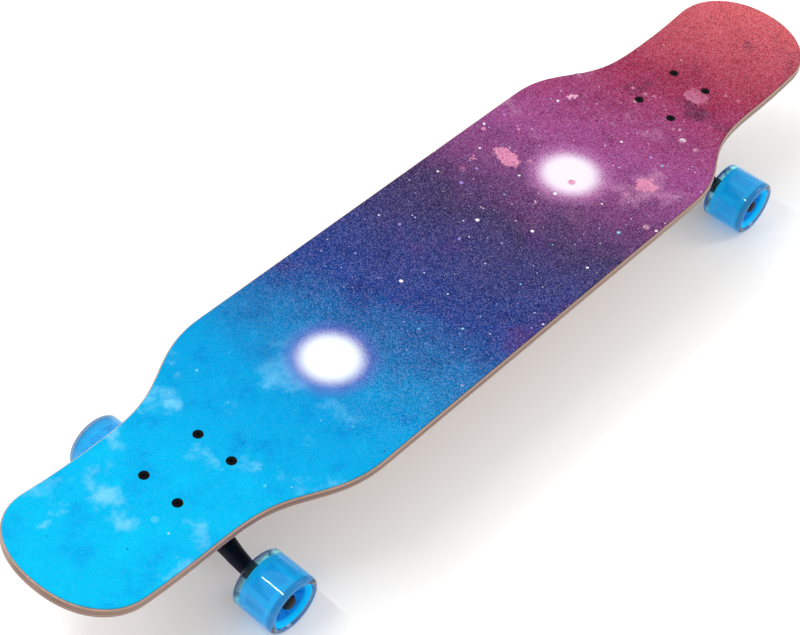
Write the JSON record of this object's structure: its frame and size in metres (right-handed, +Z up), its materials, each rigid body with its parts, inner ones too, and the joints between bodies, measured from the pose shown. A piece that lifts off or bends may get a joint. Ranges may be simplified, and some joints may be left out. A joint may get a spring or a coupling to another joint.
{
  "type": "dance longboard skateboard",
  "caption": "Double-kick dance longboard with a printed grip top, two reverse-kingpin trucks and four clear wheels on blue cores; it leans to steer and rolls freely.",
  "frame": {"origin": "on the ground under the centre of the board, in the middle of its box's bottom face", "axes": "+X along the board towards its red front end, +Y to the rider's left when facing the front, +Z up"},
  "size_m": [1.0624, 0.258, 0.1253],
  "materials": {
    "maple_ply": "satin",
    "printed_grip": "matte",
    "black_cast": "satin",
    "black_rubber": "matte",
    "black_steel": "satin",
    "steel": "satin",
    "blue_bushing": "satin",
    "clear_urethane": "gloss",
    "blue_core": "satin"
  },
  "bodies": {
    "board": {"deck": "maple_ply", "grip_tape": "printed_grip", "deck_bolt_front_1": "black_steel", "deck_bolt_front_2": "black_steel", "deck_bolt_front_3": "black_steel", "deck_bolt_front_4": "black_steel", "deck_bolt_rear_1": "black_steel", "deck_bolt_rear_2": "black_steel", "deck_bolt_rear_3": "black_steel", "deck_bolt_rear_4": "black_steel", "riser_pad_front": "black_rubber", "baseplate_front": "black_cast", "pivot_cup_front": "black_rubber", "kingpin_front": "black_steel", "kingpin_nut_front": "steel", "cup_washer_boardside_front": "steel", "cup_washer_roadside_front": "steel", "bushing_boardside_front": "blue_bushing", "bushing_roadside_front": "blue_bushing", "riser_pad_rear": "black_rubber", "baseplate_rear": "black_cast", "pivot_cup_rear": "black_rubber", "kingpin_rear": "black_steel", "kingpin_nut_rear": "steel", "cup_washer_boardside_rear": "steel", "cup_washer_roadside_rear": "steel", "bushing_boardside_rear": "blue_bushing", "bushing_roadside_rear": "blue_bushing"},
    "hanger_front": {"hanger_front": "black_cast", "axle_front": "steel", "axle_nut_front_left": "steel", "axle_nut_front_right": "steel"},
    "hanger_rear": {"hanger_rear": "black_cast", "axle_rear": "steel", "axle_nut_rear_left": "steel", "axle_nut_rear_right": "steel"},
    "wheel_front_left": {"wheel_tyre_front_left": "clear_urethane", "wheel_core_front_left": "blue_core", "bearing_inner_front_left": "steel", "bearing_outer_front_left": "steel", "bearing_spacer_front_left": "steel"},
    "wheel_front_right": {"wheel_tyre_front_right": "clear_urethane", "wheel_core_front_right": "blue_core", "bearing_inner_front_right": "steel", "bearing_outer_front_right": "steel", "bearing_spacer_front_right": "steel"},
    "wheel_rear_left": {"wheel_tyre_rear_left": "clear_urethane", "wheel_core_rear_left": "blue_core", "bearing_inner_rear_left": "steel", "bearing_outer_rear_left": "steel", "bearing_spacer_rear_left": "steel"},
    "wheel_rear_right": {"wheel_tyre_rear_right": "clear_urethane", "wheel_core_rear_right": "blue_core", "bearing_inner_rear_right": "steel", "bearing_outer_rear_right": "steel", "bearing_spacer_rear_right": "steel"}
  },
  "joints": [
    {"name": "steer_front", "type": "hinge", "parent": "board", "child": "hanger_front", "pos_m": [0.3553, 0, 0.065], "axis": [0.6428, 0, 0.766], "range_deg": [-20, 20], "stiffness_Nm_per_rad": 60, "deforming": ["bushing_boardside_front", "bushing_roadside_front"]},
    {"name": "steer_rear", "type": "hinge", "parent": "board", "child": "hanger_rear", "pos_m": [-0.3553, 0, 0.065], "axis": [-0.6428, 0, 0.766], "range_deg": [-20, 20], "stiffness_Nm_per_rad": 60, "deforming": ["bushing_boardside_rear", "bushing_roadside_rear"]},
    {"name": "spin_front_left", "type": "hinge", "parent": "hanger_front", "child": "wheel_front_left", "pos_m": [0.3533, 0.105, 0.03], "axis": [0, 1, 0], "continuous": true},
    {"name": "spin_front_right", "type": "hinge", "parent": "hanger_front", "child": "wheel_front_right", "pos_m": [0.3533, -0.105, 0.03], "axis": [0, 1, 0], "continuous": true},
    {"name": "spin_rear_left", "type": "hinge", "parent": "hanger_rear", "child": "wheel_rear_left", "pos_m": [-0.3533, 0.105, 0.03], "axis": [0, 1, 0], "continuous": true},
    {"name": "spin_rear_right", "type": "hinge", "parent": "hanger_rear", "child": "wheel_rear_right", "pos_m": [-0.3533, -0.105, 0.03], "axis": [0, 1, 0], "continuous": true}
  ]
}
